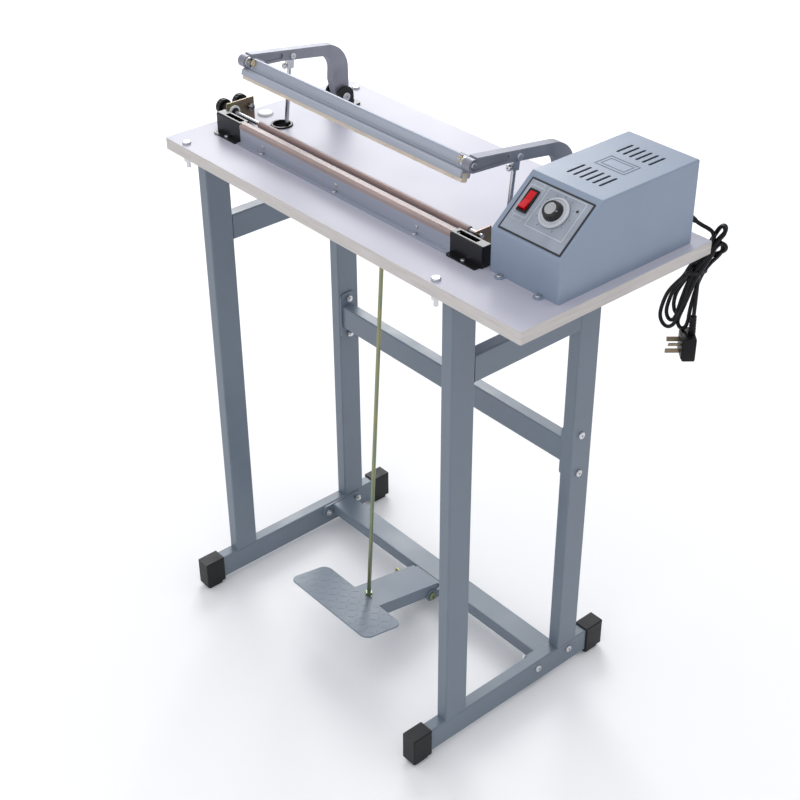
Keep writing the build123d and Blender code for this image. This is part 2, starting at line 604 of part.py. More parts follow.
def swivel_block(side):
    """Block on the swivel pin that clamps a lift rod, with its clamp screw."""
    x, z = ARM_X[side], PIN_Z
    body = block(x - BLOCK_X / 2, x + BLOCK_X / 2, PIN_Y - BLOCK_HALF, PIN_Y + BLOCK_HALF, z - 19, z)
    body += bar((x - BLOCK_X / 2, PIN_Y, z), (x + BLOCK_X / 2, PIN_Y, z), BLOCK_HALF)
    body -= bar((x - 10, PIN_Y, z), (x + 10, PIN_Y, z), 2.5 + RUN)
    body -= bar((x, PIN_Y, z - 20), (x, PIN_Y, z - 7), ROD_R)
    clamp = screw((x, PIN_Y - BLOCK_HALF - 2.5, z - 15), (0, 1, 0), 4.0, 3.4, 1.9, 2.5)
    return body, clamp


def lift_rod(side):
    """Rod from a swivel block down through the board to the yoke, nutted there."""
    x, z = ARM_X[side], PIN_Z
    rod = bar((x, PIN_Y, z - YOKE_DROP - 14), (x, PIN_Y, z - 7), ROD_R)
    upper = hex_nut((x, PIN_Y, z - YOKE_DROP + 3), (0, 0, 1), 10, 5, ROD_R)
    lower = hex_nut((x, PIN_Y, z - YOKE_DROP - 3), (0, 0, -1), 10, 5, ROD_R)
    return rod, upper, lower


def yoke():
    """Flat bar joining both rods under the board, with a clevis and its pin."""
    z = PIN_Z - YOKE_DROP
    body = block(ARM_X["left"] - 12, ARM_X["right"] + 12, PIN_Y - 10, PIN_Y + 10, z - 3, z + 3)
    for side in SIDES:
        body -= bar((ARM_X[side], PIN_Y, z - 5), (ARM_X[side], PIN_Y, z + 5), ROD_R)
    drop = PIN_Z - CLEVIS_DROP
    for x0 in (PULL_X - CLEVIS_GAP / 2 - CLEVIS_T, PULL_X + CLEVIS_GAP / 2):
        body += block(x0, x0 + CLEVIS_T, PIN_Y - 8, PIN_Y + 8, drop, z - 3)
        body += bar((x0, PIN_Y, drop), (x0 + CLEVIS_T, PIN_Y, drop), 8.0)
    reach = CLEVIS_GAP / 2 + CLEVIS_T + 2
    return body + bar((PULL_X - reach, PIN_Y, drop), (PULL_X + reach, PIN_Y, drop), ROD_R)


lean = math.radians(LIFT_LEAN)
CLEVIS_Y = PIN_Y - CLEVIS_DROP * math.sin(lean)
CLEVIS_Z = PIN_Z - CLEVIS_DROP * math.cos(lean)
NUT_GAP = 2.6                       # play of the pull rod's nuts on the pedal arm


def pull_rod():
    """Long rod: an eye on the clevis pin, and two nuts above and below the pedal arm."""
    top, low = Vector(PULL_X, CLEVIS_Y, CLEVIS_Z), Vector(PULL_X, HOOK_Y, HOOK_Z)
    down = (low - top).normalized()
    eye = ring((PULL_X - 3, CLEVIS_Y, CLEVIS_Z), (PULL_X + 3, CLEVIS_Y, CLEVIS_Z), 7.0, ROD_R + RUN)
    rod = bar(top + down * 6, low + down * 13, ROD_R)
    above = hex_nut(low - down * (1.0 + NUT_GAP), -down, 10, 5, ROD_R)
    below = hex_nut(low + down * (1.0 + NUT_GAP), down, 10, 5, ROD_R)
    return rod + eye + above + below


parts["swivel_blocks"] = group(leaning(p) for s in SIDES for p in swivel_block(s))
parts["lift_rods"] = group(leaning(p) for s in SIDES for p in lift_rod(s))
parts["yoke"] = leaning(yoke())
parts["pull_rod"] = pull_rod()

# ---------------------------------------------------------------- pedal
PEDAL_W, PEDAL_TALL, PEDAL_SHEET = 59.0, 22.0, 2.0
PEDAL_X0, PEDAL_X1 = -153.5, 33.5
PEDAL_EAR_T = 3.0


def sloped(shape):
    """Tilt a pedal piece drawn level so that its front end is up."""
    return turn(shape, PEDAL_Y, PEDAL_Z, -PEDAL_SLOPE)


def pedal_arm():
    """Inverted channel from the hinge to the plate, drawn level."""
    top = PEDAL_Z + 18.5
    x0, x1 = PULL_X - PEDAL_W / 2, PULL_X + PEDAL_W / 2
    y0, y1 = PEDAL_Y - 168, PEDAL_Y + 12.5
    body = block(x0, x1, y0, y1, top - PEDAL_TALL, top)
    body -= block(x0 + PEDAL_SHEET, x1 - PEDAL_SHEET, y0, y1, top - PEDAL_TALL, top - PEDAL_SHEET)
    body -= block(x0, x1, y0, y0 + 40, top - PEDAL_TALL, top - PEDAL_TALL + 10)
    axis = (PEDAL_Y, PEDAL_Z)
    body -= bar((x0, *axis), (x1, *axis), 4.0 + RUN)
    reach = math.hypot(HOOK_Y - PEDAL_Y, HOOK_Z - PEDAL_Z)
    rise = math.degrees(math.atan2(HOOK_Z - PEDAL_Z, PEDAL_Y - HOOK_Y)) - PEDAL_SLOPE
    hook_y = PEDAL_Y - reach * math.cos(math.radians(rise))
    slot = block(PULL_X - 4.2, PULL_X + 4.2, hook_y - 6.5, hook_y + 6.5, top - 8, top + 4)
    return body - fillet(slot.edges().filter_by(Axis.Z), 4.0)


def pedal_plate():
    """Round-cornered tread plate with a slight down-turned rim, drawn level."""
    z, y1 = PEDAL_Z + 18.5, PEDAL_Y - 115.0
    y0 = y1 - 75
    plate = block(PEDAL_X0, PEDAL_X1, y0, y1, z, z + 2)
    plate = fillet(plate.edges().filter_by(Axis.Z), 14.0)
    return fillet(plate.faces().sort_by(Axis.Z)[-1].edges(), 0.9)


def pedal_bracket():
    """U bracket on the foot stretcher's front face, ears outside the pedal arm."""
    face = LOWER_Y - TUBE_D / 2
    half = PEDAL_W / 2 + 0.6
    body = block(PULL_X - half - PEDAL_EAR_T, PULL_X + half + PEDAL_EAR_T, face - 3, face, 27, 47)
    for x0 in (PULL_X - half - PEDAL_EAR_T, PULL_X + half):
        body += block(x0, x0 + PEDAL_EAR_T, PEDAL_Y, face - 3, PEDAL_Z - 10, PEDAL_Z + 5.5)
        body += bar((x0, PEDAL_Y, PEDAL_Z), (x0 + PEDAL_EAR_T, PEDAL_Y, PEDAL_Z), 10.0)
    return body - bar((PULL_X - 50, PEDAL_Y, PEDAL_Z), (PULL_X + 50, PEDAL_Y, PEDAL_Z), 4.0)


def pedal_bolt():
    """Long hinge bolt across the bracket, its thread standing out on the left."""
    edge = PULL_X + PEDAL_W / 2 + 0.6 + PEDAL_EAR_T
    bolt = screw((edge, PEDAL_Y, PEDAL_Z), (-1, 0, 0), 6.5, 4.5, 4.0, 2 * (edge - PULL_X) + 20)
    nut = hex_nut((2 * PULL_X - edge, PEDAL_Y, PEDAL_Z), (-1, 0, 0), 13.0, 6.5, 4.0)
    return bolt, nut


parts["pedal_arm"] = sloped(pedal_arm())
parts["pedal_plate"] = sloped(pedal_plate())
parts["pedal_bracket"] = pedal_bracket()
parts["pedal_bolt"] = group(pedal_bolt())

# ---------------------------------------------------------------- control box
SLOPE_RISE = math.degrees(math.atan2(BOX_H - SLOPE_H, SLOPE_Y - BOX_Y0))
SLOPE_LEN = math.hypot(BOX_H - SLOPE_H, SLOPE_Y - BOX_Y0)
SLOPE = Plane(
    origin=(BOX_X0, BOX_Y0, TABLE_TOP + SLOPE_H), x_dir=(1, 0, 0),
    z_dir=(0, -math.sin(math.radians(SLOPE_RISE)), math.cos(math.radians(SLOPE_RISE))),
)
SWITCH_AT, SWITCH_W, SWITCH_L = (24.0, 47.3), 15.0, 31.0
DIAL_AT, DIAL_R = (66.0, 47.0), 19.5
PANEL = (8.0, 107.3, 4.3, 76.3)
PANEL_T = 0.8
VENT_X = [258.0 + 10.0 * k for k in range(6)]
VENT_Y = ((-5.5, 25.0), (79.0, 108.5))


def on_slope(at, shape):
    """Place a shape on the sloped panel, its own Z along the panel's normal."""
    return SLOPE * Pos(at[0], at[1], 0) * shape


def box_outline(inset):
    """Side view of the box, set inwards by a sheet's thickness."""
    z = TABLE_TOP
    steep = math.radians(SLOPE_RISE)
    knee = inset * math.tan(steep / 2)
    low = inset * math.tan((math.pi / 2 - steep) / 2)
    return [
        (BOX_Y0 + inset, z), (BOX_Y0 + inset, z + SLOPE_H - low), (SLOPE_Y + knee, z + BOX_H - inset),
        (BOX_Y1 - inset, z + BOX_H - inset), (BOX_Y1 - inset, z),
    ]


def control_cover():
    """Folded steel cover, open below, with vents, panel openings and screw tabs."""
    outer = slab_x(box_outline(0), BOX_X0, BOX_X1)
    outer = fillet(outer.edges().filter_by(lambda e: e.center().Z > TABLE_TOP + 1), 2.2)
    shape = outer - slab_x(box_outline(SHEET), BOX_X0 + SHEET, BOX_X1 - SHEET)
    for y0, y1 in VENT_Y:
        for x in VENT_X:
            slot = block(x - 1.9, x + 1.9, y0, y1, TABLE_TOP + BOX_H - 5, TABLE_TOP + BOX_H + 1)
            shape -= fillet(slot.edges().filter_by(Axis.Z), 1.8)
    shape -= on_slope(SWITCH_AT, Box(SWITCH_W - 2, SWITCH_L - 3, 12))
    shape -= on_slope(DIAL_AT, Cylinder(5.0, 12))
    shape -= gland_hole()
    for x in BOX_TAB_X:
        y, z = BOX_Y0 - BOX_TAB, TABLE_TOP
        shape += block(x - 6, x + 6, y, BOX_Y0 + 0.5, z, z + 1.5) + bar((x, y, z), (x, y, z + 1.5), 6.0)
    return shape - bench_drills()


GLAND_AT = (325.0, BOX_Y1, TABLE_TOP + 35.0)


def gland_hole():
    """Straight neck of the strain relief, and the hole it fits."""
    x, z = GLAND_AT[0], GLAND_AT[2]
    return bar((x, BOX_Y1 - 6, z), (x, BOX_Y1, z), 4.6)


def transformer():
    """Laminated core with a wound bobbin, on two feet."""
    x, y, z = 281.0, 62.0, TABLE_TOP + 1.5
    core = block(x - 33, x + 33, y - 14, y + 14, z, z + 55)
    windows = [block(x + dx - 5.5, x + dx + 5.5, y - 15, y + 15, z + 11, z + 44) for dx in (-16.5, 16.5)]
    for window in windows:
        core -= window
    coil = block(x - 22, x + 22, y - 26, y + 26, z + 11.2, z + 43.8)
    coil = fillet(coil.edges().filter_by(Axis.Z), 7.0)
    coil -= block(x - 11, x + 11, y - 14, y + 14, z + 11, z + 44)
    for dx in (-27.5, 27.5):
        coil -= block(x + dx - 5.5, x + dx + 5.5, y - 14, y + 14, z + 11, z + 44)
    return core, coil


def timer_board():
    """Circuit board behind the panel, with its potentiometer, relay and capacitor."""
    board = on_slope((69, 40), Pos(0, 0, -20) * Box(60, 60, 1.6))
    pot = on_slope(DIAL_AT, Pos(0, 0, -14.2) * Cylinder(8.5, 10) - Cylinder(ROD_R + RUN, 40))
    relay = on_slope((54, 22), Pos(0, 0, -29.3) * Box(19, 15, 17))
    capacitor = on_slope((84, 24), Pos(0, 0, -28.3) * Cylinder(6, 15))
    return board + pot + relay + capacitor


def panel_plate():
    """Printed panel sheet on the slope."""
    x0, x1, s0, s1 = PANEL
    sheet = Pos((x0 + x1) / 2, (s0 + s1) / 2, PANEL_T / 2) * Box(x1 - x0, s1 - s0, PANEL_T)
    sheet = fillet(sheet.edges().filter_by(Axis.Z), 1.0)
    sheet -= Pos(*SWITCH_AT, 0) * Box(SWITCH_W - 2, SWITCH_L - 3, 6)
    sheet -= Pos(*DIAL_AT, 0) * Cylinder(5.0, 6)
    return SLOPE * sheet


ROCKER_TILT = 9.0                   # degrees either side of level


def switch_housing():
    """Black switch body with a rim on the panel and an open well for the rocker."""
    rim = Pos(0, 0, PANEL_T + 1.2) * Box(SWITCH_W, SWITCH_L, 2.4)
    rim = fillet(rim.edges().filter_by(Axis.Z), 1.2)
    body = rim + Pos(0, 0, -7) * Box(SWITCH_W - 2.2, SWITCH_L - 3.2, 14 + 2 * PANEL_T)
    body -= Pos(0, 0, 0) * Box(SWITCH_W - 4.4, SWITCH_L - 4.8, 9.2)
    pins = [Pos(0, dy, -17) * Box(4.8, 0.8, 8) for dy in (-8, 0, 8)]
    return [on_slope(SWITCH_AT, body)] + [on_slope(SWITCH_AT, p) for p in pins]


def switch_rocker():
    """Red rocker, dished on top and keeled below, its upper end pressed in."""
    keel = [(-12, 5.0), (-12, -0.8), (-3, -3.7), (3, -3.7), (12, -0.8), (12, 5.0), (0, 3.6)]
    rocker = slab_x(keel, -4.9, 4.9)
    return on_slope(SWITCH_AT, Rot(-ROCKER_TILT, 0, 0) * rocker)


def timer_dial():
    """Timer knob: wide skirt, tapered ribbed grip with a low cap, and spindle."""
    skirt = Pos(0, 0, PANEL_T + 1.0) * Cylinder(DIAL_R, 3.0, align=BOTTOM)
    skirt = chamfer(skirt.faces().sort_by(Axis.Z)[-1].edges(), 1.4)
    grip = Pos(0, 0, PANEL_T + 4.0) * Cone(12.6, 11.0, 8.0, align=BOTTOM)
    for k in range(24):
        grip -= Rot(0, 0, 15 * k) * Pos(12.4, 0, PANEL_T + 8.6) * Cylinder(0.8, 9)
    grip += Pos(0, 0, PANEL_T + 12.0) * Cylinder(7.6, 0.8, align=BOTTOM)
    spindle = Pos(0, 0, -16) * Cylinder(ROD_R, 18, align=BOTTOM)
    return on_slope(DIAL_AT, skirt + grip + spindle)


def micro_switch():
    """Start switch under the board, its lever just over the yoke."""
    x, y, z = 120.0, -20.5, UNDER
    body = block(x - 14, x + 14, y - 5, y + 5, z - 20, z - 4)
    foot = block(x - 18, x + 18, y - 8, y + 8, z - 4, z)
    lever = block(x - 12, x + 10, y - 2, y + 2, z - 22.4, z - 21.6)
    post = block(x + 7, x + 9, y - 2, y + 2, z - 22, z - 20)
    return body + foot + lever + post


parts["control_cover"] = control_cover()
floor_plate = block(BOX_X0 + 2, BOX_X1 - 2, BOX_Y0 + 2, BOX_Y1 - 2, TABLE_TOP, TABLE_TOP + 1.5)
parts["control_floor"] = floor_plate
parts["transformer"] = group(transformer())
parts["timer_board"] = timer_board()
parts["panel_plate"] = panel_plate()
parts["switch_housing"] = group(switch_housing())
parts["switch_rocker"] = switch_rocker()
parts["timer_dial"] = timer_dial()
parts["micro_switch"] = micro_switch()

# ---------------------------------------------------------------- mains cord
# From the gland, low over the rear edge of the board and into the folded, tied hank, which
# hangs behind the board; from the tie straight down to the plug.
GLAND_TIP = (331.0, BOX_Y1 + 13.0, TABLE_TOP + 23.0)
LEAD = [GLAND_TIP, (334.5, 157.6, 804), (340, 163.5, 800), (346, 169, 796), (350, 174, 789)]
HANK_Y, HANK_HALF = 176.0, 8.0
TIE_Z = 712.0
HANK_OUTLINE = [
    (352, 803), (360, 803), (361, 790), (361, 776), (350, 759), (335, 733), (331, TIE_Z + 10), (331, TIE_Z),
    (319, TIE_Z), (316, 690), (311, 672), (303, 651), (292, 635), (281, 631), (274, 640), (275, 654),
    (282, 673), (289, 694), (305, 716), (312, 736), (331, 753), (338, 766), (341, 786),
]
TAIL = [(325, 177, TIE_Z), (324.2, 178.4, 694), (323, 180, 678), (323, 180, 662)]


PLUG_TALL, NECK = 34.0, 26.0


def rounded_path(points):
    """Straight runs joined by arcs as large as the runs allow; prints the radii."""
    radii = []
    for a, b, c in zip(points, points[1:], points[2:]):
        u, v = Vector(*b) - Vector(*a), Vector(*c) - Vector(*b)
        bend = math.radians(u.get_angle(v))
        radii.append(0.45 * min(u.length, v.length) / math.tan(bend / 2))
    print("cord radii", [round(r, 1) for r in radii])
    return FilletPolyline(*points, radius=radii)


def cord_tube(points):
    """Round cord along a route; prints its length and checks its volume."""
    path = rounded_path(points)
    tube = sweep(Plane(origin=path @ 0, z_dir=path % 0) * Circle(CORD_R), path)
    print("cord length", round(path.length, 1), "volume ratio",
          round(tube.volume / (math.pi * CORD_R**2 * path.length), 4))
    return tube


def gland():
    """Tapered strain relief, square to its slant, through the box's rear sheet."""
    start, tip = Vector(*GLAND_AT), Vector(*GLAND_TIP)
    way = tip - start
    cone = Plane(origin=start, z_dir=way) * Cone(4.6, 3.3, way.length, align=BOTTOM)
    x, z = GLAND_AT[0], GLAND_AT[2]
    flange = bar((x, BOX_Y1, z), (x, BOX_Y1 + 3, z), 7.0)
    inside = block(x - 10, x + 10, BOX_Y1 - 10, BOX_Y1, z - 10, z + 10)
    return cone - inside + flange + gland_hole()


def hank():
    """Outer shape of the folded cord: narrow at its upper fold and tie, wide below."""
    plane = Plane(origin=(0, HANK_Y + HANK_HALF, 0), x_dir=(1, 0, 0), z_dir=(0, -1, 0))
    return extrude(plane * make_face(Polyline(*HANK_OUTLINE, close=True)), 2 * HANK_HALF)


def plug():
    """Three-pin plug hanging by its cord, pins towards the front left."""
    body = Box(18, 34, PLUG_TALL)
    body = fillet(body.edges(), 3.0)
    neck = Pos(4, 0, PLUG_TALL / 2) * Cylinder(4.8, NECK, align=BOTTOM)
    for k in range(5):
        neck -= Pos(4, 0, PLUG_TALL / 2 + 5 + 4 * k) * (Cylinder(6, 1.6) - Cylinder(3.8, 1.6))
    pins = [
        Pos(-18, dy, 4) * Rot(tilt, 0, 0) * Box(18, 1.6, 6.3) for dy, tilt in ((-7, 30), (7, -30))
    ]
    pins.append(Pos(-19, 0, -9.5) * Box(20, 1.6, 6.3))
    drop = PLUG_TALL / 2 + NECK
    place = Pos(TAIL[-1][0], TAIL[-1][1], TAIL[-1][2] - drop) * Rot(0, 0, 49) * Pos(-4, 0, 0)
    return [place * (body + neck)] + [place * p for p in pins]


parts["cord_gland"] = gland()
parts["power_cord"] = group([cord_tube(LEAD), cord_tube(TAIL)])
parts["cord_hank"] = hank()
parts["power_plug"] = group(plug())

os.makedirs("parts", exist_ok=True)
for name, shape in parts.items():
    export_step(shape, f"parts/{name}.step")
print(len(parts), "nodes")
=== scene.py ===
import bpy
import bmesh
import math
from mathutils import Matrix, Vector


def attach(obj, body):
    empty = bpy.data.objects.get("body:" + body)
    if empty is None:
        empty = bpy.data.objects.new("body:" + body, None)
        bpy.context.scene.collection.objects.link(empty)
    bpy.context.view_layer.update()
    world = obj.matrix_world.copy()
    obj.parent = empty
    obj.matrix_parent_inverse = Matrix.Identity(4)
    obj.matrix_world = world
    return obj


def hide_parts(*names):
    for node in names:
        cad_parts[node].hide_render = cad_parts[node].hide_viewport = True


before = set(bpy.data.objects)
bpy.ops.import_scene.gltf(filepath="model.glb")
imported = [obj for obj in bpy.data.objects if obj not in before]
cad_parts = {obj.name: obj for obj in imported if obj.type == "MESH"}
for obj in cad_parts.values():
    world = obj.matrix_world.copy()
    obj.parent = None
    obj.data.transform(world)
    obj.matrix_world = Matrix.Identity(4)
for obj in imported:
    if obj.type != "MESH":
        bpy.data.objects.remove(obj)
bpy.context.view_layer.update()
MM = 0.001

# ---------------------------------------------------------------- camera
AZIMUTH, ELEVATION, ROLL = math.radians(49.36), math.radians(33.69), math.radians(-0.38)
right = Vector((math.cos(AZIMUTH), math.sin(AZIMUTH), 0))
back = Vector((
    math.sin(AZIMUTH) * math.cos(ELEVATION), -math.cos(AZIMUTH) * math.cos(ELEVATION), math.sin(ELEVATION)
))
up = back.cross(right)
turned_right = math.cos(ROLL) * right + math.sin(ROLL) * up
turned_up = -math.sin(ROLL) * right + math.cos(ROLL) * up
LENS, SENSOR, FAR_CLIP = 66.9, 36.0, 60
CAMERA_AT = Vector((1.3268, -1.1797, 1.6331))
camera = bpy.data.objects.new("camera", bpy.data.cameras.new("camera"))
camera.data.lens, camera.data.sensor_width = LENS, SENSOR
camera.data.clip_end = FAR_CLIP
place = Matrix((turned_right, turned_up, back)).transposed().to_4x4()
place.translation = CAMERA_AT
camera.matrix_world = place
bpy.context.collection.objects.link(camera)
bpy.context.scene.camera = camera
bpy.context.scene.view_settings.view_transform = "Standard"


# ---------------------------------------------------------------- materials
def shader(name, color, rough=0.5, metal=0.0, **sockets):
    """A new material and its principled shader, with uniform values on the sockets."""
    material = bpy.data.materials.new(name)
    material.use_nodes = True
    surface = material.node_tree.nodes["Principled BSDF"]
    surface.inputs["Base Color"].default_value = (*color, 1)
    surface.inputs["Roughness"].default_value = rough
    surface.inputs["Metallic"].default_value = metal
    for key, value in sockets.items():
        surface.inputs[key.replace("_", " ")].default_value = value
    return material, surface


def add(material, kind, **values):
    """A node in a material, with some of its properties and inputs set."""
    node = material.node_tree.nodes.new(kind)
    for key, value in values.items():
        if key in node.inputs.keys() or key.replace("_", " ") in node.inputs.keys():
            node.inputs[key.replace("_", " ")].default_value = value
        else:
            setattr(node, key, value)
    return node


def join(material, source, target):
    material.node_tree.links.new(source, target)


def place_noise(material, scale, stretch=(1, 1, 1), detail=4.0, kind="ShaderNodeTexNoise", **values):
    """A procedural texture in object space, stretched along the axes."""
    coords = add(material, "ShaderNodeTexCoord")
    mapping = add(material, "ShaderNodeMapping")
    mapping.inputs["Scale"].default_value = stretch
    join(material, coords.outputs["Object"], mapping.inputs["Vector"])
    noise = add(material, kind, **values)
    noise.inputs["Scale"].default_value = scale
    if "Detail" in noise.inputs.keys():
        noise.inputs["Detail"].default_value = detail
    join(material, mapping.outputs["Vector"], noise.inputs["Vector"])
    return noise


def ramp(material, source, low, high, at=(0.3, 0.7)):
    """Map a texture's value onto a range of grey or colour."""
    node = add(material, "ShaderNodeValToRGB")
    for element, position, value in zip(node.color_ramp.elements, at, (low, high)):
        element.position = position
        element.color = (*value, 1) if isinstance(value, tuple) else (value, value, value, 1)
    join(material, source, node.inputs["Fac"])
    return node


def bump(material, surface, height, strength, distance):
    """Bump from a height, chained onto any bump the surface already has."""
    node = add(material, "ShaderNodeBump")
    node.inputs["Strength"].default_value = strength
    node.inputs["Distance"].default_value = distance
    join(material, height, node.inputs["Height"])
    normal = surface.inputs["Normal"]
    if normal.links:
        join(material, normal.links[0].from_socket, node.inputs["Normal"])
    join(material, node.outputs["Normal"], normal)


def shade(color, factor):
    return tuple(min(1.0, c * factor) for c in color)


def vary(material, surface, color, amount, scale, rough, stretch=(1, 1, 1), spread=0.08):
    """Uneven colour and roughness, as on a handled surface."""
    blotch = place_noise(material, scale, stretch, 5.0)
    tone = ramp(material, blotch.outputs["Fac"], shade(color, 1 - amount), shade(color, 1 + amount))
    join(material, tone.outputs["Color"], surface.inputs["Base Color"])
    gloss = ramp(material, blotch.outputs["Fac"], max(0.02, rough - spread), min(1.0, rough + spread))
    join(material, gloss.outputs["Color"], surface.inputs["Roughness"])


def painted(name, color, rough, grain=900.0, strength=0.12, coat=0.15, **sockets):
    """Sprayed or powder paint: fine orange peel and faint handling marks."""
    material, surface = shader(name, color, rough, Coat_Weight=coat, Coat_Roughness=0.25, **sockets)
    vary(material, surface, color, 0.06, 14.0, rough)
    peel = place_noise(material, grain, detail=2.0)
    bump(material, surface, peel.outputs["Fac"], strength, 0.0004)
    return material


def metal(name, color, rough, stretch=(1, 1, 1), scale=600.0, strength=0.15, amount=0.1, metallic=1.0):
    """Plated, cast or drawn metal, its grain running along the short stretch."""
    material, surface = shader(name, color, rough, metallic)
    vary(material, surface, color, amount, 30.0, rough, stretch, 0.1)
    grain = place_noise(material, scale, stretch, 6.0)
    bump(material, surface, grain.outputs["Fac"], strength, 0.0003)
    return material


def moulded(name, color, rough, grain=1500.0, strength=0.15, **sockets):
    """Moulded plastic or rubber with a fine spark-eroded grain."""
    material, surface = shader(name, color, rough, **sockets)
    vary(material, surface, color, 0.12, 40.0, rough, spread=0.06)
    spark = place_noise(material, grain, detail=3.0)
    bump(material, surface, spark.outputs["Fac"], strength, 0.0003)
    return material


def laminate():
    """White melamine: faint fibrous mottle under a semi-gloss pearl surface."""
    color, rough = (0.49, 0.49, 0.565), 0.4
    material, surface = shader("laminate", color, rough, Specular_IOR_Level=0.32)
    vary(material, surface, color, 0.025, 9.0, rough, spread=0.04)
    pearl = place_noise(material, 1400.0, detail=2.0)
    bump(material, surface, pearl.outputs["Fac"], 0.05, 0.0002)
    return material


def edging():
    """Beige plastic edge band with faint streaks along its length."""
    color, rough = (0.54, 0.505, 0.485), 0.55
    material, surface = shader("edging", color, rough)
    vary(material, surface, color, 0.10, 18.0, rough, (1, 1, 12))
    streaks = place_noise(material, 400.0, (0.2, 0.2, 3), 3.0)
    bump(material, surface, streaks.outputs["Fac"], 0.15, 0.0003)
    return material


def weave(name, color, rough, pitch=1900.0):
    """Glass cloth soaked in resin: a fine plain weave under a waxy skin."""
    material, surface = shader(name, color, rough, Coat_Weight=0.3, Coat_Roughness=0.3)
    vary(material, surface, color, 0.14, 35.0, rough, (0.3, 1, 1))
    for direction in ("X", "Z"):
        threads = place_noise(material, pitch, kind="ShaderNodeTexWave", bands_direction=direction)
        threads.inputs["Distortion"].default_value = 1.5
        bump(material, surface, threads.outputs["Fac"], 0.25, 0.00015)
    return material


def plated(name, first, second, rough):
    """Yellow-passivated zinc, its tint drifting between two hues along the piece."""
    material, surface = shader(name, first, rough, 0.9)
    drift = place_noise(material, 9.0, (1, 1, 2.5), 4.0)
    tint = ramp(material, drift.outputs["Fac"], first, second, (0.35, 0.65))
    join(material, tint.outputs["Color"], surface.inputs["Base Color"])
    scratch = place_noise(material, 500.0, (4, 4, 0.4), 5.0)
    gloss = ramp(material, scratch.outputs["Fac"], rough - 0.1, rough + 0.15)
    join(material, gloss.outputs["Color"], surface.inputs["Roughness"])
    bump(material, surface, scratch.outputs["Fac"], 0.15, 0.0003)
    return material


STAND = (0.138, 0.175, 0.216)
BOX = (0.24, 0.295, 0.385)
LOOKS = {
    "stand_paint": painted("stand_paint", STAND, 0.42),
    "pedal_paint": painted("pedal_paint", shade(STAND, 1.15), 0.38, strength=0.2),
    "box_paint": painted("box_paint", BOX, 0.42, 1100.0, 0.10, 0.1),
    "plate_edge": painted("plate_edge", shade(BOX, 0.72), 0.45, 1100.0, 0.10, 0.0),
    "laminate": laminate(),
    "edging": edging(),
    "cap_rubber": moulded("cap_rubber", (0.011, 0.011, 0.013), 0.45, Specular_IOR_Level=0.25),
    "knob_plastic": moulded("knob_plastic", (0.007, 0.007, 0.008), 0.34, Specular_IOR_Level=0.3),
    "cord_pvc": moulded("cord_pvc", (0.003, 0.003, 0.004), 0.34, Specular_IOR_Level=0.22),
    "plug_body": moulded("plug_body", (0.004, 0.004, 0.005), 0.4, 900.0, 0.3, Specular_IOR_Level=0.22),
    "pin_brass": metal("pin_brass", (0.24, 0.19, 0.13), 0.36, (0.4, 2, 2)),
    "dial_grip": moulded("dial_grip", (0.010, 0.010, 0.011), 0.34),
    "dial_cap": metal("dial_cap", (0.42, 0.43, 0.44), 0.32, (1, 1, 1), 700.0, 0.2),
    "lamp": moulded("lamp", (0.006, 0.006, 0.007), 0.2),
    "white_plastic": moulded("white_plastic", (0.80, 0.80, 0.79), 0.4),
    "silicone": moulded("silicone", (0.66, 0.56, 0.45), 0.55, Subsurface_Weight=0.15),
    "black_gloss": painted(
        "black_gloss", (0.008, 0.008, 0.010), 0.3, 500.0, 0.2, 0.12, Specular_IOR_Level=0.35
    ),
    "zinc": metal("zinc", (0.62, 0.63, 0.64), 0.28),
    "steel_rod": metal("steel_rod", (0.55, 0.56, 0.58), 0.22, (4, 4, 0.5)),
    "dark_steel": metal("dark_steel", (0.20, 0.20, 0.21), 0.35),
    "cast": metal("cast", (0.29, 0.30, 0.345), 0.5, (1, 1, 1), 450.0, 0.45, 0.16, 0.55),
    "extruded": metal("extruded", (0.44, 0.465, 0.535), 0.5, (0.08, 3, 3), 500.0, 0.2, 0.1, 0.7),
    "brass": metal("brass", (0.65, 0.50, 0.25), 0.3),
    "ribbon": metal("ribbon", (0.45, 0.43, 0.41), 0.35, (0.2, 3, 3)),
    "yellow_zinc": plated("yellow_zinc", (0.30, 0.29, 0.15), (0.20, 0.26, 0.17), 0.32),
    "bracket_zinc": plated("bracket_zinc", (0.19, 0.19, 0.10), (0.27, 0.19, 0.15), 0.36),
    "cloth": weave("cloth", (0.30, 0.21, 0.195), 0.42),
    "seal_cloth": weave("seal_cloth", (0.36, 0.27, 0.25), 0.38),
    "red": moulded("red", (0.58, 0.004, 0.010), 0.3, 800.0, 0.05, Specular_IOR_Level=0.25),
    "core": metal("core", (0.20, 0.20, 0.21), 0.5, (1, 1, 14), 300.0, 0.5, 0.1, 0.6),
    "circuit": moulded("circuit", (0.03, 0.16, 0.06), 0.35),
    "panel_border": moulded("panel_border", (0.012, 0.013, 0.016), 0.35),
    "panel_field": moulded("panel_field", (0.30, 0.33, 0.385), 0.4, strength=0.08),
    "print_dark": moulded("print_dark", (0.05, 0.055, 0.07), 0.4),
    "print_light": moulded("print_light", (0.55, 0.60, 0.66), 0.4),
    "clear_skirt": moulded("clear_skirt", (0.50, 0.52, 0.56), 0.14, 900.0, 0.05, Coat_Weight=0.8),
    "plain_floor": shader("plain_floor", (0.93, 0.93, 0.935), 0.95, Specular_IOR_Level=0.0)[0],
}
